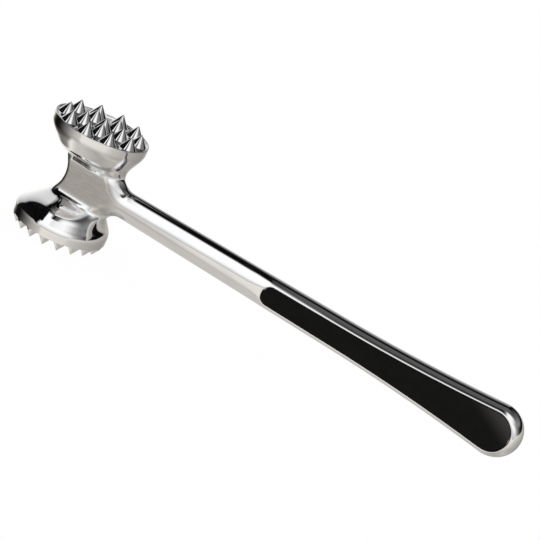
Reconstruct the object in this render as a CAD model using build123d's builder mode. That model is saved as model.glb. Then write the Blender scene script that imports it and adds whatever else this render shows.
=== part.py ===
"""A two-faced meat mallet: one chromed zinc casting with a soft-grip inlay bonded into each side of its handle.

Frame: +Z runs up the head's axis, from the fine teeth to the coarse spikes. +X runs along the handle to its butt.
The origin is on the head's axis, in the plane of the fine teeth's tips, so the mallet stands on z = 0.
All sizes are millimetres.
"""

import os
from math import atan2, cos, radians, sin, sqrt, tan

from build123d import *

# Head: two round faces, each with a rim, on one axis
face_radius = 23.0
head_height = 52.0
rim_height = 5.0
rim_edge_radius = 2.5
rim_edge_angle = 45.0

# Fine teeth: one in the middle and three rings, with 6 more teeth in each ring
tooth_height = 4.65
tooth_base_radius = 3.3
tooth_tip_radius = 0.25
tooth_margin = 2.87
tooth_rings = 3
teeth_per_ring = 6

# Coarse spikes: one in the middle and two rings, on the floor of a shallow recess
recess_depth = 0.8
lip_width = 0.8
lip_edge_share = 0.42
spike_height = 5.65
spike_base_radius = 4.4
spike_tip_radius = 0.2
spike_margin = 0.09
outer_spikes = 10
inner_spikes = 5
inner_ring_share = 0.5325

# Waist: a flat-sided web, cut back by an arc on the side away from the handle
handle_height = 30.0
web_thickness = 12.8
waist_reach = 6.1
waist_angle = 49.0
waist_radius = 13.84
shoulder_reach = 18.9
waist_edge_radius = 2.3

# Handle: rises gently from the head, then flares to a round butt
root_radius = 7.5
root_half_height = 6.55
flare_start = 140.0
flare_half_height = 7.85
butt_end = 232.8
butt_radius = 12.4
handle_edge_radius = 5.0

# Grip inlays: each lies on an adhesive film in a pocket and is located by pegs in blind holes
pocket_start = 102.3
pocket_border = 3.1
pocket_end_border = 5.0
pocket_depth = 1.8
pocket_corner_share = 0.92
inlay_gap = 0.12
inlay_thickness = 1.45
inlay_edge_radius = 0.5
film_thickness = 0.15
peg_radius = 1.5
peg_depth = 2.0
peg_clearance = 0.2
peg_place_shares = (0.155, 0.5, 0.845)

# Room by which a cut runs past the solid that it works on
overrun = 5.0

tooth_ring_step = (face_radius - tooth_margin) / tooth_rings
outer_ring_radius = face_radius - lip_width - spike_base_radius - spike_margin
inner_ring_radius = inner_ring_share * outer_ring_radius
upper_lip = tooth_height + head_height
head_middle = tooth_height + head_height / 2
half_web = web_thickness / 2
pocket_floor = half_web - pocket_depth
upright = (Align.CENTER, Align.CENTER, Align.MIN)
side_plane = Plane(origin=(0, 0, handle_height), x_dir=(1, 0, 0), z_dir=(0, -1, 0))
floor_plane = side_plane.offset(pocket_floor)
film_plane = floor_plane.offset(film_thickness)

# Each rim's edge towards the waist is rounded through an angle, and the flange meets it there
edge_turn = radians(rim_edge_angle)
edge_start = upper_lip - rim_height + rim_edge_radius * tan(edge_turn / 2)
flange_top = edge_start - rim_edge_radius * sin(edge_turn)
flange_radius = face_radius - rim_edge_radius * (1 - cos(edge_turn))
flange_bottom = 2 * head_middle - flange_top
upper_plane = Plane(origin=(0, 0, flange_top), x_dir=(1, 0, 0), z_dir=(0, 0, 1))
lower_plane = Plane(origin=(0, 0, flange_bottom), x_dir=(1, 0, 0), z_dir=(0, 0, -1))

# The web's level ends are where the waist's arc ends
web_top = waist_radius * sin(radians(waist_angle))

# The handle's edge: a root arc from the shoulder, a straight run, a wide arc, and a round butt
root_drop = root_half_height + root_radius - web_top
root_end = shoulder_reach + sqrt(root_radius**2 - root_drop**2)
rise = atan2(flare_half_height - root_half_height, flare_start - root_end)
butt_centre = butt_end - butt_radius
flare_run = butt_centre - flare_start
flare_gain = butt_radius - flare_run * sin(rise) - flare_half_height * cos(rise)
flare_radius = (flare_run**2 + flare_half_height**2 - butt_radius**2) / (2 * flare_gain)
flare_place = flare_start - flare_radius * sin(rise)
flare_height = flare_half_height + flare_radius * cos(rise)

# The round front end of a grip pocket takes most of the pocket's height there
front_half_height = root_half_height + (pocket_start - root_end) * tan(rise) - pocket_border / cos(rise)
pocket_corner = pocket_corner_share * front_half_height
pocket_length = butt_end - pocket_end_border - pocket_start


def round_end(start, centre, radius):
    """Draw the flare's wide arc from its start to a round end that it touches, then the end's upper half."""
    turn = atan2(flare_height, flare_place - centre)
    touch = (centre + radius * cos(turn), radius * sin(turn))
    crest = (centre + radius * cos(turn / 2), radius * sin(turn / 2))
    TangentArc(start, touch, tangent=(cos(rise), sin(rise)))
    ThreePointArc(touch, crest, (centre + radius, 0))


def handle_edge():
    """Draw the upper edge of the web and the handle, from the waist to the butt's end."""
    waist = CenterArc((-waist_reach - waist_radius, 0), waist_radius, 0, waist_angle)
    Line(waist @ 1, (shoulder_reach, web_top))
    RadiusArc((shoulder_reach, web_top), (root_end, root_half_height), -root_radius)
    Line((root_end, root_half_height), (flare_start, flare_half_height))
    round_end((flare_start, flare_half_height), butt_centre, butt_radius)


def grip_outline(plane, inset):
    """A grip pocket's outline, drawn in by inset: it follows the handle's edge and has two round ends."""
    border = pocket_border + inset
    front = pocket_start + inset
    end = butt_end - pocket_end_border - inset
    front_top = root_half_height + (front - root_end) * tan(rise) - border / cos(rise)
    bend_start = (flare_start + border * sin(rise), flare_half_height - border * cos(rise))
    span = flare_radius + border + end
    end_centre = (span**2 - flare_place**2 - flare_height**2) / (2 * (span - flare_place))
    with BuildSketch(plane) as outline:
        with BuildLine():
            Line((front, front_top), bend_start)
            round_end(bend_start, end_centre, end - end_centre)
            mirror(about=Plane.XZ)
            Line((front, front_top), (front, -front_top))
        make_face()
        fillet(outline.vertices().group_by(Axis.X)[0], radius=pocket_corner - inset)
    return outline.sketch


def peg_circles(plane, radius):
    """A circle at each of the inlay's peg places."""
    with BuildSketch(plane) as circles:
        with Locations([(pocket_start + share * pocket_length, 0) for share in peg_place_shares]):
            Circle(radius)
    return circles.sketch


# The fine teeth, trimmed flush with the rim
with BuildPart() as fine_teeth:
    Cone(tooth_tip_radius, tooth_base_radius, tooth_height, align=upright)
    for ring in range(1, tooth_rings + 1):
        with PolarLocations(ring * tooth_ring_step, ring * teeth_per_ring):
            Cone(tooth_tip_radius, tooth_base_radius, tooth_height, align=upright)
    Cylinder(face_radius, tooth_height, align=upright, mode=Mode.INTERSECT)

# The upper rim is turned about the head's axis, and the lower rim is its mirror image
with BuildPart() as upper_rim:
    with BuildSketch(Plane.XZ):
        with BuildLine():
            edge = TangentArc((face_radius, edge_start), (flange_radius, flange_top), tangent=(0, -1))
            Polyline(edge @ 1, (0, flange_top), (0, upper_lip), (face_radius, upper_lip), edge @ 0)
        make_face()
    revolve(axis=Axis.Z)

with BuildPart() as lower_rim:
    mirror(upper_rim.part, about=Plane.XY.offset(head_middle))

with BuildSketch(upper_plane) as upper_end:
    Circle(flange_radius)

with BuildSketch(lower_plane) as lower_end:
    Circle(flange_radius)

# One casting: the web and the handle first, then both flanges, then the faces and the pockets
with BuildPart() as cast_body:
    with BuildSketch(side_plane):
        with BuildLine():
            handle_edge()
            mirror(about=Plane.XZ)
        make_face()
    extrude(amount=half_web, both=True)
    sides = cast_body.faces().filter_by(Axis.Y)
    level = cast_body.edges().filter_by(Axis.X)
    rounded = ShapeList([e for e in sides.edges() if e not in level])
    waist_edges = rounded.filter_by_position(Axis.X, -face_radius, 0)
    fillet(waist_edges, radius=waist_edge_radius)
    fillet([e for e in rounded if e not in waist_edges], radius=handle_edge_radius)

    # Each flange spreads from the web's level end to its rim
    web_ends = cast_body.faces().filter_by(Axis.Z).sort_by(Axis.Z)
    loft([web_ends[-1], upper_end.sketch.face()], ruled=True)
    loft([web_ends[0], lower_end.sketch.face()], ruled=True)
    add([upper_rim.part, lower_rim.part])

    # The recess inside the upper lip, and the spikes on its floor
    with BuildSketch(Plane.XY.offset(upper_lip)):
        Circle(face_radius - lip_width)
    extrude(amount=-recess_depth, mode=Mode.SUBTRACT)
    lip_edges = cast_body.edges().filter_by_position(Axis.Z, upper_lip, upper_lip)
    fillet(lip_edges, radius=lip_edge_share * lip_width)
    with Locations((0, 0, upper_lip - recess_depth)):
        Cone(spike_base_radius, spike_tip_radius, spike_height, align=upright)
        with PolarLocations(inner_ring_radius, inner_spikes):
            Cone(spike_base_radius, spike_tip_radius, spike_height, align=upright)
        with PolarLocations(outer_ring_radius, outer_spikes, start_angle=180 / outer_spikes):
            Cone(spike_base_radius, spike_tip_radius, spike_height, align=upright)
    add(fine_teeth.part)

    # The grip pockets and the blind holes in their floors
    pocket = extrude(grip_outline(floor_plane, 0), amount=pocket_depth + overrun, mode=Mode.SUBTRACT)
    holes = peg_circles(floor_plane, peg_radius + peg_clearance)
    bores = extrude(holes, amount=-peg_depth - peg_clearance, mode=Mode.SUBTRACT)
    mirror([pocket, bores], about=Plane.XZ, mode=Mode.SUBTRACT)

# The left grip inlay: its face stands just proud of the handle, and its pegs reach through the film
with BuildPart() as grip_inlay_left:
    extrude(grip_outline(film_plane, inlay_gap), amount=inlay_thickness)
    fillet(grip_inlay_left.faces().sort_by(Axis.Y)[0].edges(), radius=inlay_edge_radius)
    extrude(peg_circles(film_plane, peg_radius), amount=-film_thickness - peg_depth)

# The left adhesive film, with a clear hole round each peg
with BuildPart() as adhesive_film_left:
    extrude(grip_outline(floor_plane, inlay_gap), amount=film_thickness)
    clear_holes = peg_circles(floor_plane, peg_radius + peg_clearance)
    extrude(clear_holes, amount=film_thickness, mode=Mode.SUBTRACT)

# The right grip inlay and film are the left ones mirrored across the handle
with BuildPart() as grip_inlay_right:
    mirror(grip_inlay_left.part, about=Plane.XZ)

with BuildPart() as adhesive_film_right:
    mirror(adhesive_film_left.part, about=Plane.XZ)

os.makedirs("parts", exist_ok=True)

cast_body.part.label = "cast_body"
export_step(cast_body.part, "parts/cast_body.step")
grip_inlay_left.part.label = "grip_inlay_left"
export_step(grip_inlay_left.part, "parts/grip_inlay_left.step")
grip_inlay_right.part.label = "grip_inlay_right"
export_step(grip_inlay_right.part, "parts/grip_inlay_right.step")
adhesive_film_left.part.label = "adhesive_film_left"
export_step(adhesive_film_left.part, "parts/adhesive_film_left.step")
adhesive_film_right.part.label = "adhesive_film_right"
export_step(adhesive_film_right.part, "parts/adhesive_film_right.step")
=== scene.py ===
"""A chromed two-faced meat mallet with a soft-grip inlay in each side of its handle, dressed for the studio.

Lengths of shapes are millimetres, as on a drawing, with heights measured from the handle's axis. They become
metres above the floor when a mesh is made. Materials, floor and camera are in metres from the start.
"""

from functools import partial

import bmesh
import bpy
import numpy as np
from mathutils import Matrix, Vector
from mathutils.geometry import tessellate_polygon


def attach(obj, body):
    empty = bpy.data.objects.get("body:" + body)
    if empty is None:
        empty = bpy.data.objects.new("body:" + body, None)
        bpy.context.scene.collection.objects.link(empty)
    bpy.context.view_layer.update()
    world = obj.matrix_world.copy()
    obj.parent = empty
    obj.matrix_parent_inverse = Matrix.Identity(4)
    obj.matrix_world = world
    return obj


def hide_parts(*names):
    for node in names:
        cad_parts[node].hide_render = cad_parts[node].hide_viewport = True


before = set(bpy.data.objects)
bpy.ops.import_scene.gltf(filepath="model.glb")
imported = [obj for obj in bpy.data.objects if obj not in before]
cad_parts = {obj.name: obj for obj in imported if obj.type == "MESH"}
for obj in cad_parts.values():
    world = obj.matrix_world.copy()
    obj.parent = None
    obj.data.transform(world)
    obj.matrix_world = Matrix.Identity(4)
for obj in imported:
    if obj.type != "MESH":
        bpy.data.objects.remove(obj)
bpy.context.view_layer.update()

# The casting: one zinc die casting, polished and chromed all over. A flat-sided web joins two round
# flanges, and the handle grows out of its side. The skin below is three sleeves, up, down and along the
# handle, that meet in one smooth crotch on each side of the handle's root.
face_radius = 22.98
lip_height = 26.65
face_height = -25.35
rim_band = 5.0
rim_soft = 2.0
web_half = 6.4
web_flat = 6.6
web_hollow = 3.66
web_turn = np.radians(66)
crown_radius = 19.4
crown_soft = 2.0
oval_growth = 4.0
waist_reach = 6.1
waist_hollow = 13.84
waist_corner_share = 0.36
shoulder_reach = 18.8
shoulder_flat = 10.0
shoulder_hollow = 14.0
neck_corner = 6.5


def soft_ramp(t, width):
    """t where it is positive and 0 where it is negative, joined by a parabola of that half-width."""
    return np.where(t > width, t, np.where(t < -width, 0.0, (t + width) ** 2 / (4 * width)))


def head_reach(height, start, base, hollow, rim):
    """Half-width of the head: base up to start, a hollow arc, a straight run that touches it, and the rim."""
    away = np.hypot(rim - start, face_radius - base - hollow)
    lean = np.arctan2(face_radius - base - hollow, rim - start) + np.arcsin(hollow / away)
    climb = np.clip(height - start, 0, hollow)
    arc = base + hollow - np.sqrt(hollow**2 - climb**2)
    run = face_radius - np.tan(lean) * soft_ramp(rim - height, rim_soft)
    return np.where(height < start + hollow * np.sin(lean), arc, run)


def crowned_reach(height, rim):
    """Half-thickness of the head: the flat web, a tight hollow, a shallow slope and a steeper rim."""
    foot = web_flat + web_hollow * np.sin(web_turn)
    inner = web_half + web_hollow * (1 - np.cos(web_turn))
    shallow = np.tan(web_turn)
    bend = foot + (crown_radius - inner) / shallow
    steep = (face_radius - crown_radius) / (rim - bend)
    climb = np.clip(height - web_flat, 0, web_hollow)
    arc = web_half + web_hollow - np.sqrt(web_hollow**2 - climb**2)
    slope = inner + shallow * (height - foot) - (shallow - steep) * soft_ramp(height - bend, crown_soft)
    return np.where(height < foot, arc, face_radius - soft_ramp(face_radius - slope, rim_soft * steep))


def head_section(z):
    """The head's plan at a height: its reach to the left, right and front, and its corners' sizes.

    The corners grow from those of the web into whole quarters of an oval as the flange leaves the web.
    """
    rim = np.where(z > 0, lip_height - rim_band, -face_height - rim_band)
    left = head_reach(np.abs(z), 0.0, waist_reach, waist_hollow, rim)
    right = head_reach(np.abs(z), shoulder_flat, shoulder_reach, shoulder_hollow, rim)
    front = crowned_reach(np.abs(z), rim)
    t = np.minimum((front - web_half) / oval_growth, 1)
    roundness = t * (2 - t)
    share = waist_corner_share + (1 - waist_corner_share) * roundness
    right_corner = neck_corner + (right - neck_corner) * roundness
    return left, right, front, left * share, front * share, right_corner


# The handle's root: a round hollow leads from the shoulder into the handle, which then rises evenly to its
# flare. Its edge is rounded further in on the neck than beside the inlays.
root_hollow = 7.5
root_end = 25.48
root_half = 6.55
flare_start = 140.0
flare_half = 7.85
rise = (flare_half - root_half) / (flare_start - root_end)
grip_corner = 5.2
corner_change_start = 94.0
corner_change_run = 10.5


def handle_half(x):
    """Half the handle's height before its flare, which grows evenly along it."""
    return root_half + rise * (x - root_end)


def edge_corner(x):
    """How far the handle's rounded edge reaches in from its outline, eased from the neck's to the grip's."""
    t = np.clip((x - corner_change_start) / corner_change_run, 0, 1)
    return neck_corner + (grip_corner - neck_corner) * t * t * (3 - 2 * t)


def skin(points):
    """Signed measure of how far a point is off the skin near the head: a side outline and a thickness.

    The outline is the waist on one side. On the other it is the shoulder, joined to the handle by a hollow.
    Outline and thickness meet in a round corner at the waist and in a quarter of an ellipse everywhere else.
    """
    x, y, z = np.moveaxis(points, -1, 0)
    left, right, front, left_corner, left_depth, right_corner = head_section(z)
    shoulder = x - right
    handle = np.abs(z) - handle_half(x)
    hollow = np.hypot(np.maximum(root_hollow - shoulder, 0), np.maximum(root_hollow - handle, 0))
    outer = np.maximum(root_hollow, np.minimum(shoulder, handle)) - hollow
    inner = -x - left
    right_corner = np.where(x > root_end, edge_corner(x), right_corner)
    corner = np.where(inner > outer, left_corner, right_corner)
    corner_depth = np.where(inner > outer, left_depth, front)
    across = np.maximum((np.maximum(inner, outer) + corner) / corner, 0)
    depth = np.maximum((np.abs(y) - front + corner_depth) / corner_depth, 0)
    return (np.hypot(across, depth) - 1) * corner


def settle(points, probe=0.005, rounds=10):
    """Points moved onto the skin along its slope, by Newton's rule, with the slope felt by a small probe."""
    for _ in range(rounds):
        slope = np.stack([skin(points + d) - skin(points - d) for d in probe * np.eye(3)], -1) / (2 * probe)
        points = points - (skin(points) / (slope**2).sum(-1))[..., None] * slope
    return points


def spread(path, count, least=1e-6):
    """Points along a path, each step taking an equal share of the path's length and of its turning."""
    step = np.diff(path, axis=0)
    length = np.linalg.norm(step, axis=1)
    path = path[np.append(True, length > least)]
    step = step[length > least]
    length = length[length > least]
    heading = step / length[:, None]
    turn = np.arccos(np.clip((heading[1:] * heading[:-1]).sum(1), -1, 1))
    turn = np.append(turn, 0) + np.append(0, turn)
    weight = length / length.sum() + turn / max(turn.sum(), least)
    place = np.append(0, np.cumsum(weight))
    share = np.linspace(0, place[-1], count + 1)
    return np.stack([np.interp(share, place, c) for c in path.T], 1)


def rays(turn):
    """Unit steps in a plane at some turns from its first axis."""
    return np.column_stack([np.cos(turn), np.sin(turn)])


def quarter(reach, depth, corner, corner_depth, bend_points=91, straight_points=40):
    """A quarter of a section as (along, across) points: a side, an elliptical corner and the front."""
    foot = np.array([reach - corner, depth - corner_depth])
    side = np.column_stack([np.full(straight_points, reach), np.linspace(0, foot[1], straight_points)])
    bend = foot + [corner, corner_depth] * rays(np.linspace(0, np.pi / 2, bend_points))
    front = np.column_stack([np.linspace(foot[0], 0, straight_points), np.full(straight_points, depth)])
    return np.concatenate([side, bend, front])


half_steps = 34
split_x = 8.0
upside_down = np.array([1, 1, -1])


def head_row(z):
    """Half of a plan section at a height: from the left silhouette round the front to the right one."""
    left, right, front, left_corner, left_depth, right_corner = head_section(z)
    plan = np.concatenate([quarter(left, front, left_corner, left_depth) * [-1, -1],
                           quarter(right, front, right_corner, front)[::-1] * [1, -1]])
    ahead = plan[:, 0] > split_x
    split = [[split_x, np.interp(split_x, plan[:, 0], plan[:, 1])]]
    plan = np.concatenate([spread(np.concatenate([plan[~ahead], split]), half_steps),
                           spread(np.concatenate([split, plan[ahead]]), half_steps)[1:]])
    return np.column_stack([plan, np.full(len(plan), z)])


# Where the three sleeves meet, a seam runs from the middle of the web to the crotch of the handle's root.
crotch_turn = root_hollow * (1 - np.sqrt(0.5))
crotch = np.array([shoulder_reach + crotch_turn, root_half + crotch_turn])
seam_length = np.hypot(crotch[0] - split_x, crotch[1])
seam_way = np.array([crotch[0] - split_x, crotch[1]]) / seam_length
seam_plan = spread(quarter(seam_length, web_half, neck_corner, web_half), half_steps)[::-1]
upper_seam = settle(np.column_stack([split_x + seam_plan[:, 0] * seam_way[0], -seam_plan[:, 1],
                                     seam_plan[:, 0] * seam_way[1]]))
lower_seam = upper_seam * upside_down
plain_height = 14.3
low_rows = 60
high_rows = 40


def flange_heights(start, end, rows, trace_points=4001):
    """Heights of a flange's rows, close together where its thickness turns."""
    climb = np.linspace(start, end, trace_points)
    return spread(np.column_stack([climb, head_section(climb)[2]]), rows)[:, 0]


def sleeve(sign, seam, end):
    """One flange: rows from the seam to a plain section above the crotch, then plain sections to its end."""
    low = flange_heights(0, sign * plain_height, low_rows)
    high = flange_heights(sign * plain_height, end, high_rows)[1:]
    rows = np.array([head_row(z) for z in low])
    top = rows[-1, half_steps:]
    height = low[:, None] / low[-1]
    thick = ((head_section(low)[2] - web_half) / (head_section(low[-1])[2] - web_half))[:, None]
    share = np.stack([height, thick, height], -1)
    mixture = seam * (1 - share) + top * share
    rows[1:-1, half_steps + 1:] = settle(mixture[1:-1, 1:])
    rows[0, half_steps:] = seam
    return np.concatenate([rows, np.array([head_row(z) for z in high])])


lip_round = 0.34
lip_width = 0.8
recess_depth = 0.8
upper_sleeve = sleeve(1, upper_seam, lip_height - lip_round)
lower_sleeve = sleeve(-1, lower_seam, face_height)


# The handle runs from the crotch to a round butt, with a rounded edge. Each side has a pocket for an inlay,
# a narrow border in from the edge and a wider one at the butt's end. The pocket's mouth has a rolled edge,
# and its floor has blind holes.
neck_start = 27.0
neck_end = 86.0
butt_end = 232.77
butt_radius = 12.4
pocket_start = 102.3
pocket_border = 3.1
pocket_end_border = 5.0
pocket_break = 0.85
pocket_depth = 1.8
pocket_corner_share = 0.92
peg_hole_radius = 1.7
peg_hole_depth = 2.2
peg_shares = np.array([0.155, 0.5, 0.845])
tilt = np.arctan(rise)
butt_centre = butt_end - butt_radius
flare_run = butt_centre - flare_start
flare_gain = butt_radius - flare_run * np.sin(tilt) - flare_half * np.cos(tilt)
flare_radius = (flare_run**2 + flare_half**2 - butt_radius**2) / (2 * flare_gain)
flare_centre = np.array([flare_start - flare_radius * np.sin(tilt), flare_half + flare_radius * np.cos(tilt)])
flare_turn = np.arctan2(flare_centre[1], flare_centre[0] - butt_centre)
front_half = handle_half(pocket_start) - pocket_border / np.cos(tilt)
pocket_corner = pocket_corner_share * front_half
corner_x = pocket_start + pocket_corner
corner_z = handle_half(corner_x) - (pocket_border + pocket_corner) / np.cos(tilt)
corner_middle = 3 * np.pi / 4
corner_steps = 20
face_steps = half_steps - corner_steps
front_steps = 12
mouth_steps = 12
run_steps = 21
flare_steps = 39
butt_steps = 40
even_start = front_steps + mouth_steps + 1
plan_down = np.array([1, -1])


def handle_rail():
    """The handle's upper edge beyond the neck: a straight run, a wide hollow arc and the round butt.

    Gives the points, their outward directions, and how far in the pocket's mouth lies from the first of them.
    The way in widens along the front patch, and follows the mouth's round corner back to an even border.
    """
    mouth = pocket_border - pocket_break
    round_off = pocket_corner + pocket_break
    turn = np.linspace(corner_middle - np.pi / 2 - tilt, 0, mouth_steps + 1)
    dip = mouth + round_off * (1 - np.cos(turn))
    corner_run = corner_x - round_off * np.sin(turn) * np.cos(tilt) - (mouth + round_off) * np.sin(tilt)
    along = np.concatenate([np.linspace(neck_end, corner_run[0], front_steps + 1)[:-1], corner_run,
                            np.linspace(corner_run[-1], flare_start, run_steps + 1)[1:]])
    inset = np.concatenate([np.linspace(mouth, dip[0], front_steps + 1)[:-1], dip])
    run = np.column_stack([along, handle_half(along)])
    sweep = np.linspace(tilt - np.pi / 2, flare_turn - np.pi, flare_steps + 1)[1:]
    flare = flare_centre + flare_radius * rays(sweep)
    end = np.linspace(flare_turn, 0, butt_steps + 1)[1:]
    butt = [butt_centre, 0] + butt_radius * rays(end)
    way = np.concatenate([np.full(len(run), tilt + np.pi / 2), sweep + np.pi, end])
    return np.concatenate([run, flare, butt]), rays(way), inset


def border_width(grow):
    """How far in from the rail the pocket's outline lies, when grown by an amount.

    It is even along the side and wider round the butt. There the pocket's round end touches the flare's arc,
    moved in, and stops at its own distance from the butt's end.
    """
    end = butt_end - pocket_end_border
    span = flare_radius + pocket_border + end
    centre = (span**2 - (flare_centre**2).sum()) / (2 * (span - flare_centre[0]))
    lean = centre - flare_centre[0]
    touch = flare_centre[0] + flare_radius * lean / np.hypot(lean, flare_centre[1])
    away = rail - [centre, 0]
    along = (away * rail_out).sum(1)
    wide = along - np.sqrt(np.maximum(along**2 - (away**2).sum(1) + (end - centre + grow) ** 2, 0))
    return np.where(rail[:, 0] > touch, wide, pocket_border - grow)


def face_depth(plan):
    """How far the handle's side stands from its middle plane: flat, and falling away round the corner."""
    edge = handle_half(plan[..., 0]) - np.abs(plan[..., 1])
    short = np.maximum(1 - edge * np.cos(tilt) / edge_corner(plan[..., 0]), 0)
    return web_half * np.sqrt(np.maximum(1 - short**2, 0))


def raised(plan, depth):
    """Points at a plan place (along, height) on the front side, at a depth from the handle's middle plane."""
    return np.stack([plan[..., 0], np.broadcast_to(-depth, plan.shape[:-1]), plan[..., 1]], -1)


def pocket_edge(grow, straight_points=9, bend_points=46):
    """The pocket's outline from the middle of its front end to the butt, grown by an amount.

    It follows the rail at the border's width, and a round corner joins it to the straight front end.
    """
    round_off = pocket_corner + grow
    front_end = np.column_stack([np.full(straight_points, pocket_start - grow),
                                 np.linspace(0, corner_z, straight_points)])
    bend = [corner_x, corner_z] + round_off * rays(np.linspace(np.pi, corner_middle, bend_points))
    front = spread(np.concatenate([front_end, bend]), face_steps)
    way = np.linspace(corner_middle, np.pi / 2 + tilt, mouth_steps + 1)
    corner = [corner_x, corner_z] + round_off * rays(way)
    side = (rail - border_width(grow)[:, None] * rail_out)[even_start:]
    return np.concatenate([front[:-1], corner, side])


rail, rail_out, front_inset = handle_rail()
rail_inset = np.append(front_inset, border_width(pocket_break)[even_start:])

# The border: the handle's rounded edge, from its outline as far as the pocket's mouth.
corner = edge_corner(rail[:, 0])
top = np.arcsin(1 - rail_inset / corner)
bend = np.pi / 2 + (top[:, None] - np.pi / 2) * np.linspace(0, 1, corner_steps + 1)
inset = corner[:, None] * (1 - np.sin(bend))
depth = web_half * np.cos(bend)
border = raised(rail[:, None] - inset[..., None] * rail_out[:, None], depth)

# The patch in front of the pocket: a blend of its four edges in plan, raised to the handle's side.
across_points = 201
front_rail = (rail - rail_inset[:, None] * rail_out)[:front_steps + 1]
mouth_front = pocket_edge(pocket_break)[:face_steps + 1][::-1]
mouth_front = np.concatenate([mouth_front, mouth_front[-2::-1] * plan_down])
across = np.column_stack([np.full(across_points, front_rail[0, 0]),
                          np.linspace(1, -1, across_points) * front_rail[0, 1]])
across = spread(raised(across, face_depth(across)), 2 * face_steps)[:, [0, 2]]
u = np.linspace(0, 1, front_steps + 1)[:, None, None]
v = np.linspace(0, 1, 2 * face_steps + 1)[None, :, None]
rails = front_rail[:, None] * (1 - v) + (front_rail * plan_down)[:, None] * v
ends = across * (1 - u) + mouth_front * u
corners = ends[:, :1] * (1 - v) + ends[:, -1:] * v
front_plan = rails + ends - corners
front_patch = raised(front_plan, face_depth(front_plan))
front_patch[:, 0] = border[:front_steps + 1, -1]
front_patch[:, -1] = front_patch[:, 0] * upside_down

# The neck: from the crotch to a plain section, then on to where the pocket's patch begins.
root_rows = 17
neck_rows = 31
crotch_row = np.concatenate([upper_seam[::-1], lower_seam[1:]])
section = spread(quarter(handle_half(neck_start), web_half, neck_corner, web_half), half_steps)
section = np.column_stack([np.full(half_steps + 1, neck_start), -section[:, 1], section[:, 0]])
start_row = np.concatenate([section, section[-2::-1] * upside_down])
end_row = np.concatenate([border[0, :-1], front_patch[0], border[0, -2::-1] * upside_down])


def joined_rows(first, last, rows):
    """Rows of points on the skin, spaced evenly from a first row to a last one."""
    u = np.linspace(0, 1, rows)[1:-1, None, None]
    return np.concatenate([[first], settle(first * (1 - u) + last * u), [last]])


root = joined_rows(crotch_row, start_row, root_rows)
neck = joined_rows(start_row, end_row, neck_rows)

# The pocket's wall: its rounded edge rolls over from the slope of the handle's side, then drops to the floor.
slope_step = 0.01
roll_points = 7
mouth = pocket_edge(pocket_break)
wall = pocket_edge(0.0)
lip_depth = face_depth(mouth)
slope = np.arctan((lip_depth - face_depth(mouth + slope_step * (mouth - wall) / pocket_break)) / slope_step)
lip_depth[face_steps:] = depth[front_steps:, -1]
slope[face_steps + mouth_steps + 1:] = np.arctan(web_half / corner * np.tan(top))[even_start:]
t = np.linspace(0, 1, roll_points)[:, None]
roll = np.pi / 2 * t - slope * (1 - t)
edge_radius = pocket_break / (1 + np.sin(slope))
share = edge_radius * (1 - np.sin(roll)) / pocket_break
edge_depth = lip_depth + edge_radius * (np.cos(roll) - np.cos(slope))
pocket_floor = web_half - pocket_depth
pocket_wall = np.concatenate([raised(wall + (mouth - wall) * share[..., None], edge_depth),
                              raised(wall, pocket_floor)[None]])

# The pocket's floor is flat, with a blind hole for each of the inlay's pegs.
hole_points = 33
loop = np.concatenate([wall, wall[-2:0:-1] * plan_down])
pegs = pocket_start + (butt_end - pocket_end_border - pocket_start) * peg_shares
pegs = np.column_stack([pegs, np.zeros(len(pegs))])[:, None]
hole_plan = pegs + peg_hole_radius * rays(np.linspace(0, 2 * np.pi, hole_points))
floor_outlines = [loop, *hole_plan[:, :-1]]
floor_points = raised(np.concatenate(floor_outlines), pocket_floor)
floor_faces = np.array(tessellate_polygon([[Vector((x, z, 0)) for x, z in line] for line in floor_outlines]))
hole_foot = pocket_floor - peg_hole_depth
holes = np.stack([raised(hole_plan, pocket_floor), raised(hole_plan, hole_foot),
                  raised(np.broadcast_to(pegs, hole_plan.shape), hole_foot)], 1)

# The upper end: a rounded lip round a shallow recess. The lower end is flat between the teeth.
lip_points = 6


def face_disc(sleeve_end, radii, heights):
    """Rings that close a sleeve's end, each with its own radius and height."""
    plan = sleeve_end[:, :2] / face_radius * np.array(radii)[:, None, None]
    level = np.broadcast_to(np.array(heights)[:, None, None], plan.shape[:2] + (1,))
    return np.concatenate([plan, level], -1)


turn = np.linspace(0, np.pi / 2, lip_points)
lip_radii = np.concatenate([face_radius - lip_round + lip_round * np.cos(turn),
                            face_radius - lip_width + lip_round - lip_round * np.sin(turn),
                            [face_radius - lip_width, 0]])
lip_heights = lip_height + np.concatenate([lip_round * (np.sin(turn) - 1), lip_round * (np.cos(turn) - 1),
                                           [-recess_depth, -recess_depth]])
upper_end = face_disc(upper_sleeve[-1], lip_radii, lip_heights)
lower_end = face_disc(lower_sleeve[-1], [face_radius, 0], [face_height, face_height])

# Both faces' teeth are cast with the body: cones with a small round tip and a swept foot, which stand in
# rings round one in the middle. A ring is a radius, a count and the turn of its first tooth.
spike_height = 5.65
spike_foot = 4.4
spike_tip = 0.2
spike_sweep = 0.5
spike_rings = ((9.43, 5, 0), (17.71, 10, 18))
spike_sides = 48
tooth_height = 4.65
tooth_foot = 3.3
tooth_tip = 0.25
tooth_sweep = 0.15
tooth_pitch = 6.71
tooth_rings = ((tooth_pitch, 6, 0), (2 * tooth_pitch, 12, 0), (3 * tooth_pitch, 18, 0))
tooth_sides = 40
tooth_sink = 0.3


def ring_places(rings):
    """Places about the head's axis: one in the middle, then even steps round each ring."""
    places = [np.zeros((1, 2))]
    for radius, count, start in rings:
        places.append(radius * rays(np.radians(start) + 2 * np.pi * np.arange(count) / count))
    return np.concatenate(places)


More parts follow.
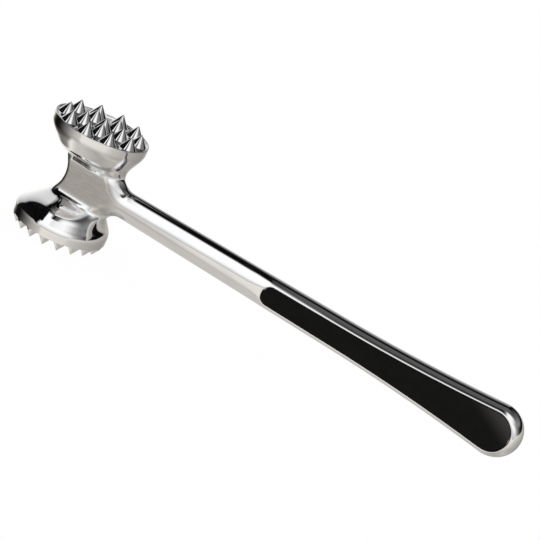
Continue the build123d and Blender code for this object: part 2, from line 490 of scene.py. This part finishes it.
def tooth_profile(height, foot, tip, sweep, tip_points=5, flank_points=8, sweep_points=6):
    """A cone's (radius, height): a round tip, a straight flank, a swept foot, and a closed underside."""
    lean = np.arctan2(height, foot - tip)
    cap = np.linspace(0, lean, tip_points)
    crown = tip / np.sin(lean)
    top = np.column_stack([crown * np.sin(cap), height - crown * (1 - np.cos(cap))])
    reach = sweep * np.tan(lean / 2)
    foot_turn = np.linspace(lean, 0, sweep_points)
    base = np.column_stack([foot + reach - sweep * np.sin(foot_turn), sweep * (1 - np.cos(foot_turn))])
    flank = np.linspace(top[-1], base[0], flank_points)[1:-1]
    under = np.array([[foot + reach, -tooth_sink], [0, -tooth_sink]])
    return np.concatenate([top, flank, base, under])


def cones(places, profile, limit, sides):
    """The profile turned about each place, with every ray cut off where it would pass a limiting cylinder."""
    ray = rays(np.linspace(0, 2 * np.pi, sides + 1))
    along = places @ ray.T
    room = -along + np.sqrt(np.maximum(along**2 + limit**2 - (places**2).sum(1)[:, None], 0))
    radius = np.minimum(profile[None, :, None, 0], room[:, None, :])
    plan = places[:, None, None] + radius[..., None] * ray
    height = np.broadcast_to(profile[None, :, None, 1:], plan.shape[:-1] + (1,))
    return np.concatenate([plan, height], -1)


spike_profile = tooth_profile(spike_height, spike_foot, spike_tip, spike_sweep)
spikes = cones(ring_places(spike_rings), spike_profile, face_radius - lip_width, spike_sides)
spikes[..., 2] += lip_height - recess_depth
fine_profile = tooth_profile(tooth_height, tooth_foot, tooth_tip, tooth_sweep)
teeth = cones(ring_places(tooth_rings), fine_profile, face_radius, tooth_sides)
teeth[..., 2] = face_height - teeth[..., 2]

# The casting's mesh: the grids above and their mirror images, welded where they meet.
millimetre = 0.001
handle_axis = 30.0
weld_gap = 2e-6
sharp_angle = np.radians(38)
other_side = np.array([1, -1, 1])


def quads(grid):
    """The corner numbers of the faces between neighbouring points of a grid."""
    number = np.arange(grid.shape[0] * grid.shape[1]).reshape(grid.shape[:2])
    return np.stack([number[:-1, :-1], number[1:, :-1], number[1:, 1:], number[:-1, 1:]], -1).reshape(-1, 4)


def solid_mesh(name, sheets):
    """One mesh from sheets of points and faces: seams merged, faces turned out, smooth but at sharp edges."""
    faces, count = [], 0
    for points, corners in sheets:
        faces += (corners + count).tolist()
        count += len(points)
    places = np.concatenate([points for points, _ in sheets])
    mesh = bpy.data.meshes.new(name)
    mesh.from_pydata((places + [0, 0, handle_axis]) * millimetre, [], faces)
    work = bmesh.new()
    work.from_mesh(mesh)
    bmesh.ops.remove_doubles(work, verts=work.verts, dist=weld_gap)
    bmesh.ops.recalc_face_normals(work, faces=work.faces)
    work.to_mesh(mesh)
    work.free()
    mesh.shade_smooth()
    mesh.set_sharp_from_angle(angle=sharp_angle)
    return mesh


def placed(data):
    """A new object in the scene for a mesh or a camera, with the same name."""
    made = bpy.data.objects.new(data.name, data)
    bpy.context.collection.objects.link(made)
    return made


front_grids = [upper_sleeve, lower_sleeve, root, neck, front_patch, border, border * upside_down,
               pocket_wall, pocket_wall * upside_down, upper_end, lower_end, *holes]
grids = front_grids + [grid * other_side for grid in front_grids] + [*spikes, *teeth]
sheets = [(grid.reshape(-1, 3), quads(grid)) for grid in grids]
sheets += [(floor_points, floor_faces), (floor_points * other_side, floor_faces)]
casting = placed(solid_mesh("mallet_casting", sheets))
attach(casting, "root")
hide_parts("cast_body")

# The chrome: bright plate over a polished casting, very slightly wavy, with fine haze in patches and a cooler
# tone where the plate is thin. The web's flat sides have fine brushed streaks in a darker tone, and the
# darker tone is painted shade. Polishing wheels don't reach the teeth, which stay a little hazier.
plate_tones = ((0.84, 0.845, 0.86, 1), (0.88, 0.88, 0.88, 1))
# The web's streaked tones: how much darker they are than the plate is painted shade.
web_streak_and_shade_tones = ((0.505, 0.495, 0.485, 1), (0.615, 0.605, 0.595, 1))
brush_stretch = (0.12, 1.0, 1.0)
web_along = (-0.007, -0.004, 0.018, 0.026)
web_heights = (0.021, 0.0245, 0.0355, 0.039)
web_haze = 0.06
spike_feet = (0.0556, 0.0562)
tooth_feet = (0.0044, 0.0048)
tooth_haze = 0.05


def put(value, socket):
    """Links a socket to the node that a value comes from, or sets it to a plain number or colour."""
    if isinstance(value, bpy.types.NodeSocket):
        socket.id_data.links.new(value, socket)
    else:
        socket.default_value = value


def feed(made, **sockets):
    """Puts values into a node's input sockets, which are named with underscores for spaces."""
    for name, value in sockets.items():
        put(value, made.inputs[name.replace("_", " ")])
    return made


def node(tree, kind, **sockets):
    """A new node of a kind in a tree, with some of its input sockets set or linked."""
    return feed(tree.nodes.new(kind), **sockets)


def spanned(value, low, high, start=0.0, end=1.0, easing="SMOOTHSTEP"):
    """A value carried from one range to another and held at both ends, with an eased or a linear rise."""
    span = node(value.id_data, "ShaderNodeMapRange", Value=value, From_Min=low, From_Max=high)
    feed(span, To_Min=start, To_Max=end)
    span.interpolation_type = easing
    return span.outputs["Result"]


def reckon(operation, a, b):
    """One arithmetic step on two values, of which at least one comes from a node."""
    tree = next(value for value in (a, b) if isinstance(value, bpy.types.NodeSocket)).id_data
    step = tree.nodes.new("ShaderNodeMath")
    step.operation = operation
    put(a, step.inputs[0])
    put(b, step.inputs[1])
    return step.outputs[0]


plus, minus, times, larger = (partial(reckon, name) for name in ("ADD", "SUBTRACT", "MULTIPLY", "MAXIMUM"))


def band(value, rise_start, rise_end, fall_start, fall_end):
    """1 between two values and 0 outside them, eased at both ends."""
    return times(spanned(value, rise_start, rise_end), spanned(value, fall_start, fall_end, 1.0, 0.0))


def mixed(share, first, second):
    """The first colour where the share is 0 and the second where it is 1.

    A Mix node has sockets for every kind of value, and those for colours are found by their identifiers.
    """
    mix = share.id_data.nodes.new("ShaderNodeMix")
    mix.data_type = "RGBA"
    sockets = {socket.identifier: socket for socket in (*mix.inputs, *mix.outputs)}
    put(share, sockets["Factor_Float"])
    put(first, sockets["A_Color"])
    put(second, sockets["B_Color"])
    return sockets["Result_Color"]


def new_group(name, inputs, outputs):
    """A node group with named sockets of given kinds. Gives the group, what is fed to it, and its end."""
    group = bpy.data.node_groups.new(name, "ShaderNodeTree")
    for direction, sockets in (("INPUT", inputs), ("OUTPUT", outputs)):
        for socket, kind in sockets.items():
            group.interface.new_socket(socket, in_out=direction, socket_type="NodeSocket" + kind)
    return group, group.nodes.new("NodeGroupInput").outputs, group.nodes.new("NodeGroupOutput")


def from_group(group, place, **sockets):
    """The outputs of a group, placed in the tree that the place comes from and given its own values."""
    made = place.id_data.nodes.new("ShaderNodeGroup")
    made.node_tree = group
    return feed(made, Place=place, **sockets).outputs


# Two effects are shared by the finishes: soft patches, as a share from 0 to 1, and a fine relief.
noise_inputs = dict(Place="Vector", Scale="Float", Detail="Float")


def noise(given):
    """A noise texture's value in a group, with the place, scale and detail that are given to it."""
    texture = node(given["Place"].id_data, "ShaderNodeTexNoise", Vector=given["Place"])
    return feed(texture, Scale=given["Scale"], Detail=given["Detail"]).outputs["Fac"]


patches, given, end = new_group("patches", dict(noise_inputs, Low="Float", High="Float"),
                                dict(Linear="Float", Eased="Float"))
cloud = noise(given)
feed(end, Linear=spanned(cloud, given["Low"], given["High"], easing="LINEAR"),
     Eased=spanned(cloud, given["Low"], given["High"]))
relief, given, end = new_group("fine_relief", dict(noise_inputs, Strength="Float", Distance="Float"),
                               dict(Normal="Vector"))
bump = node(relief, "ShaderNodeBump", Height=noise(given))
feed(bump, Strength=given["Strength"], Distance=given["Distance"])
feed(end, Normal=bump.outputs["Normal"])


def patchy_tone(place, tones, **patch):
    """A colour that changes between two tones in patches."""
    return mixed(from_group(patches, place, **patch)["Linear"], *tones)


def patchy_gloss(place, least, most, **patch):
    """A roughness that changes between two levels in patches."""
    return spanned(from_group(patches, place, **patch)["Eased"], 0.0, 1.0, least, most, "LINEAR")


def new_finish(name):
    """A new material and its shader."""
    finish = bpy.data.materials.new(name)
    finish.use_nodes = True
    return finish, finish.node_tree.nodes["Principled BSDF"]


def place_on(finish):
    """The place on the piece that carries a finish, in metres."""
    return node(finish.node_tree, "ShaderNodeTexCoord").outputs["Object"]


chrome, shader = new_finish("chrome_plate")
place = place_on(chrome)
along, _, height = node(chrome.node_tree, "ShaderNodeSeparateXYZ", Vector=place).outputs
web_face = times(band(along, *web_along), band(height, *web_heights))
streaks = node(chrome.node_tree, "ShaderNodeMapping", Vector=place, Scale=brush_stretch).outputs["Vector"]
polished = patchy_tone(place, plate_tones, Scale=90.0, Detail=3.0, Low=0.35, High=0.65)
# The web's fine streaks, in a darker tone that is painted shade.
web_streaks_and_shade = patchy_tone(streaks, web_streak_and_shade_tones, Scale=1800.0, Detail=4.0, Low=0.3, High=0.7)
haze = patchy_gloss(place, 0.025, 0.07, Scale=220.0, Detail=5.0, Low=0.4, High=0.75)
unreached = larger(spanned(height, *spike_feet, 0.0, tooth_haze),
                   spanned(height, *tooth_feet, tooth_haze, 0.0))
wave = from_group(relief, place, Scale=140.0, Detail=1.0, Strength=0.01, Distance=0.001)
feed(shader, Metallic=1.0, Base_Color=mixed(web_face, polished, web_streaks_and_shade),
     Roughness=plus(plus(haze, times(web_face, web_haze)), unreached), Normal=wave["Normal"])
casting.data.materials.append(chrome)

# The grip inlays: matte black elastomer, moulded with a fine leather-like grain and bonded into the pockets.
# The coat is stronger on the upper side of the end by the butt, as a painted sheen.
elastomer_tones = ((0.0033, 0.0032, 0.0031, 1), (0.0056, 0.0054, 0.0051, 1))
# Where the painted sheen lies: how it leans up the inlay, where it starts and where it is full.
sheen_lean = 2.0
sheen_start = 0.278
sheen_full = 0.301
rubber, shader = new_finish("soft_grip_elastomer")
place = place_on(rubber)
along, _, height = node(rubber.node_tree, "ShaderNodeSeparateXYZ", Vector=place).outputs
grain = from_group(relief, place, Scale=2600.0, Detail=3.0, Strength=0.08, Distance=0.0002)
# The coat's weight is a painted sheen at the upper side of the butt's end.
feed(shader, Specular_IOR_Level=0.1, Coat_Roughness=0.45, Coat_IOR=1.6,
     Coat_Weight=spanned(plus(along, times(height, sheen_lean)), sheen_start, sheen_full),
     Base_Color=patchy_tone(place, elastomer_tones, Scale=160.0, Detail=4.0, Low=0.3, High=0.7),
     Roughness=patchy_gloss(place, 0.42, 0.56, Scale=700.0, Detail=3.0, Low=0.3, High=0.7),
     Normal=grain["Normal"])


def coat_pair(name, finish):
    """Gives a finish to the left and the right one of a pair of pieces."""
    for side in ("left", "right"):
        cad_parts[name + "_" + side].material_slots[0].material = finish


coat_pair("grip_inlay", rubber)

# The adhesive films: a thin cured layer under each inlay, spread on the pocket's floor. It is pale and
# slightly cloudy.
adhesive_tones = ((0.70, 0.68, 0.60, 1), (0.78, 0.76, 0.68, 1))
film, shader = new_finish("cured_adhesive")
place = place_on(film)
feed(shader, Base_Color=patchy_tone(place, adhesive_tones, Scale=300.0, Detail=4.0, Low=0.3, High=0.7),
     Roughness=patchy_gloss(place, 0.4, 0.6, Scale=900.0, Detail=3.0, Low=0.3, High=0.7))
coat_pair("adhesive_film", film)

# The floor: a plain pale sheet of paper under the mallet. It shows white to the camera and keeps a faint
# shadow, and the chrome mirrors the studio's own sheet in its place.
floor_half = 3.0
floor_grey = (0.8, 0.8, 0.8, 1)
floor_glow = 1.012
glow_share = 0.96


def layered(share, first, second):
    """The first shader where the share is 0 and the second where it is 1."""
    mix = share.id_data.nodes.new("ShaderNodeMixShader")
    for socket, value in zip(mix.inputs, (share, first.outputs[0], second.outputs[0])):
        put(value, socket)
    return mix


floor_corners = floor_half * np.array([(-1, -1, 0), (1, -1, 0), (1, 1, 0), (-1, 1, 0)])
floor_mesh = bpy.data.meshes.new("studio_floor")
floor_mesh.from_pydata(floor_corners, [], [(0, 1, 2, 3)])
floor = placed(floor_mesh)
floor.visible_glossy = False
paper, shader = new_finish("floor_paper")
tree = paper.node_tree
feed(shader, Base_Color=floor_grey, Roughness=0.9)
seen = node(tree, "ShaderNodeEmission", Color=(1, 1, 1, 1), Strength=floor_glow)
path = node(tree, "ShaderNodeLightPath")
shown = layered(times(path.outputs["Is Camera Ray"], glow_share), shader, seen)
feed(tree.nodes["Material Output"], Surface=shown.outputs[0])
floor_mesh.materials.append(paper)

# The studio: a white tent, open in places, round a pale sheet. What the chrome mirrors is set by direction:
# the sheet below its far edge, the tent's walls above that, and its roof with one slot. Everything else in
# the scene is lit evenly.
dark = 0.003
black = (0, 0, 0, 1)
white = (1, 1, 1, 1)
paper_tint = (1, 0.955, 0.89, 1)
even_light = 0.85
mirrored_light = 1.16
degrees = 180 / np.pi
panel_skew = 0.17
world = bpy.data.worlds.new("studio_tent")
world.use_nodes = True
bpy.context.scene.world = world
tree = world.node_tree
direction = node(tree, "ShaderNodeTexCoord").outputs["Generated"]
east, north, up = node(tree, "ShaderNodeSeparateXYZ", Vector=direction).outputs


def levels(value, *stops):
    """A grey level read off a line through (value, level) points."""
    curve = tree.nodes.new("ShaderNodeFloatCurve")
    first, last = stops[0][0], stops[-1][0]
    feed(curve, Value=reckon("DIVIDE", minus(value, first), last - first))
    points = curve.mapping.curves[0].points
    for _ in stops[2:]:
        points.new(0.5, 0.5)
    for point, (at, level) in zip(points, stops):
        point.location = ((at - first) / (last - first), level)
        point.handle_type = "VECTOR"
    curve.mapping.update()
    return curve.outputs["Value"]


def blend(share, a, b):
    """The first value where the share is 0 and the second where it is 1."""
    return plus(times(minus(1.0, share), a), times(share, b))


# A direction's turn is measured from straight ahead of the mallet's left side, towards its butt.
turn = times(reckon("ARCTAN2", east, times(north, -1.0)), degrees)
climb = times(reckon("ARCSINE", up, 0.0), degrees)
slant = plus(east, times(north, panel_skew))
ahead = band(turn, -30, -24, 45, 60)
behind = larger(spanned(turn, -158, -154, 1.0, 0.0), spanned(turn, 176, 179))
back_left = times(band(turn, -150, -146, -112, -105), spanned(climb, 52, 60, 1.0, 0.0))

# The sheet, as seen from the chrome, ends at an edge that stands higher in some directions than in others.
# The curve's middle puts the edge on the horizon, and its whole height is edge_span degrees.
horizon_level = 0.5
edge_span = 49.0
sheet_gain = 2.0
edge = times(minus(levels(
    turn, (-180, 0.6), (-160, 0.6), (-150, 0.5), (-146, 0.2), (-112, 0.2), (-105, 0.6), (-40, 0.6),
    (-29, 0.4), (-24, 0.296), (45, 0.296), (65, 0.6), (100, 0.68), (140, 0.72), (165, 0.62), (180, 0.6)),
    horizon_level), edge_span)
over = minus(climb, edge)
sheet_level = levels(
    turn, (-180, 0.43), (-165, 0.6), (-150, 0.95), (-138, 0.88), (-128, 0.42), (-120, 0.1), (-110, 0.012),
    (-95, 0.004), (-85, 0.012), (-75, 0.05), (-65, 0.12), (-55, 0.2), (-45, 0.34), (-35, 0.45), (-19.5, 0.48),
    (-15, 0.64), (-11, 0.7), (50, 0.62), (80, 0.52), (100, 0.45), (130, 0.38), (160, 0.32), (180, 0.43))
sheet_glow = levels(
    over, (-90, 0.4), (-40, 0.425), (-20, 0.46), (-9, 0.56), (-4, 0.6), (-2, 0.58), (-0.8, 0.38), (90, 0.38))
below = levels(
    east, (-1.0, 0.25), (-0.75, 0.1), (-0.6, 0.22), (-0.5, 0.8), (-0.4, 0.65), (-0.3, 0.54), (-0.15, 0.54),
    (0.1, 0.46), (0.35, 0.38), (0.6, 0.5), (0.8, 0.35), (1.0, 0.3))
sheet = blend(spanned(climb, -50, -26), below, times(times(sheet_level, sheet_glow), sheet_gain))

# The tent's walls: bright ahead and to the back left, dark beside the camera.
rise_glow = levels(over, (0, 0.5), (9, 0.63), (18, 0.85), (30, 1.0), (90, 1.0))
back_glow = levels(
    climb, (-90, 0.455), (10, 0.43), (20, 0.33), (25, 0.26), (30, 0.18), (35, 0.11), (40, 0.045), (46, dark),
    (90, dark))
wall_level = levels(
    turn, (-180, dark), (-152, dark), (-147, 0.95), (-135, 0.8), (-122, 0.6), (-112, 0.4), (-106, dark),
    (-30, dark), (-24, 1.0), (38, 1.0), (52, 0.85), (64, 0.42), (76, 0.24), (90, 0.09), (105, 0.02),
    (120, dark), (180, dark))
tent_wall = blend(behind, blend(ahead, wall_level, times(wall_level, rise_glow)), back_glow)

# The roof: a white panel ahead with a leaning left end, a dark gap beside it, and a paler panel that spreads
# to the right. Lower down, the white panel spills over the gap. Behind the mallet the roof is nearly dark.
left_end_climb = 54
left_end_lean = 0.00286
right_fall = ((0.35, 0.95), (0.5, 0.75), (0.65, 0.42), (0.8, 0.2), (1.0, 0.08))
panel = levels(
    slant, (-1.0, 1.0), (-0.275, 1.0), (-0.22, 0.2), (-0.185, dark), (-0.15, dark), (-0.115, 0.08),
    (-0.03, 0.11), (0.06, 0.7), (0.15, 0.95), *right_fall)
spill = levels(slant, (-1.0, 1.0), (-0.25, 1.0), (-0.12, 0.8), (0.1, 0.9), *right_fall)
left_end = minus(slant, times(minus(climb, left_end_climb), left_end_lean))
panel = times(blend(spanned(climb, 44, 51), spill, panel), spanned(left_end, -0.415, -0.392, dark, 1.0))
rear = levels(
    east, (-1.0, dark), (-0.22, dark), (-0.185, 0.09), (0.1, 0.1), (0.3, 0.06), (0.5, 0.1), (0.8, 0.22),
    (1.0, 0.2))
gap = times(spanned(climb, 58, 63, 1.0, 0.0), spanned(east, 0.1, 0.4, 1.0, 0.0))
roof = blend(spanned(north, -0.293, 0.033), panel, blend(gap, rear, dark))
low_wall = larger(larger(spanned(climb, 22, 34, 1.0, 0.0), back_left),
                  times(behind, spanned(climb, 46, 50, 1.0, 0.0)))

# Sheet and tent together are what the chrome mirrors. The camera sees plain white behind the mallet.
paper_light = mixed(sheet, black, paper_tint)
tent_light = mixed(blend(low_wall, roof, tent_wall), black, white)
mirrored = mixed(spanned(over, 0.0, 1.2), paper_light, tent_light)
soft = feed(tree.nodes["Background"], Color=white, Strength=even_light)
reflected = node(tree, "ShaderNodeBackground", Color=mirrored, Strength=mirrored_light)
plain = node(tree, "ShaderNodeBackground", Color=white, Strength=1.0)
path = node(tree, "ShaderNodeLightPath")
lit = layered(path.outputs["Is Glossy Ray"], soft, reflected)
backdrop = layered(path.outputs["Is Camera Ray"], lit, plain)
feed(tree.nodes["World Output"], Surface=backdrop.outputs[0])

# The camera: a long lens above the left side of the handle, rolled so that the handle falls away to the
# right. Its right, up and back directions and its place are given in the mallet's frame.
image_width = 540
focal_pixels = 1400
camera_right = Vector((0.84062, 0.32936, 0.42998))
camera_up = Vector((-0.50556, 0.19229, 0.84109))
camera_back = Vector((0.19434, -0.92442, 0.32816))
camera_place = Vector((0.2214, -0.5789, 0.2447))
camera_data = bpy.data.cameras.new("camera")
camera_data.sensor_width = 36.0
camera_data.lens = focal_pixels / image_width * camera_data.sensor_width
camera = placed(camera_data)
camera_turn = Matrix((camera_right, camera_up, camera_back)).transposed().to_4x4()
camera.matrix_world = Matrix.Translation(camera_place) @ camera_turn
bpy.context.scene.camera = camera
bpy.context.scene.view_settings.view_transform = "Standard"
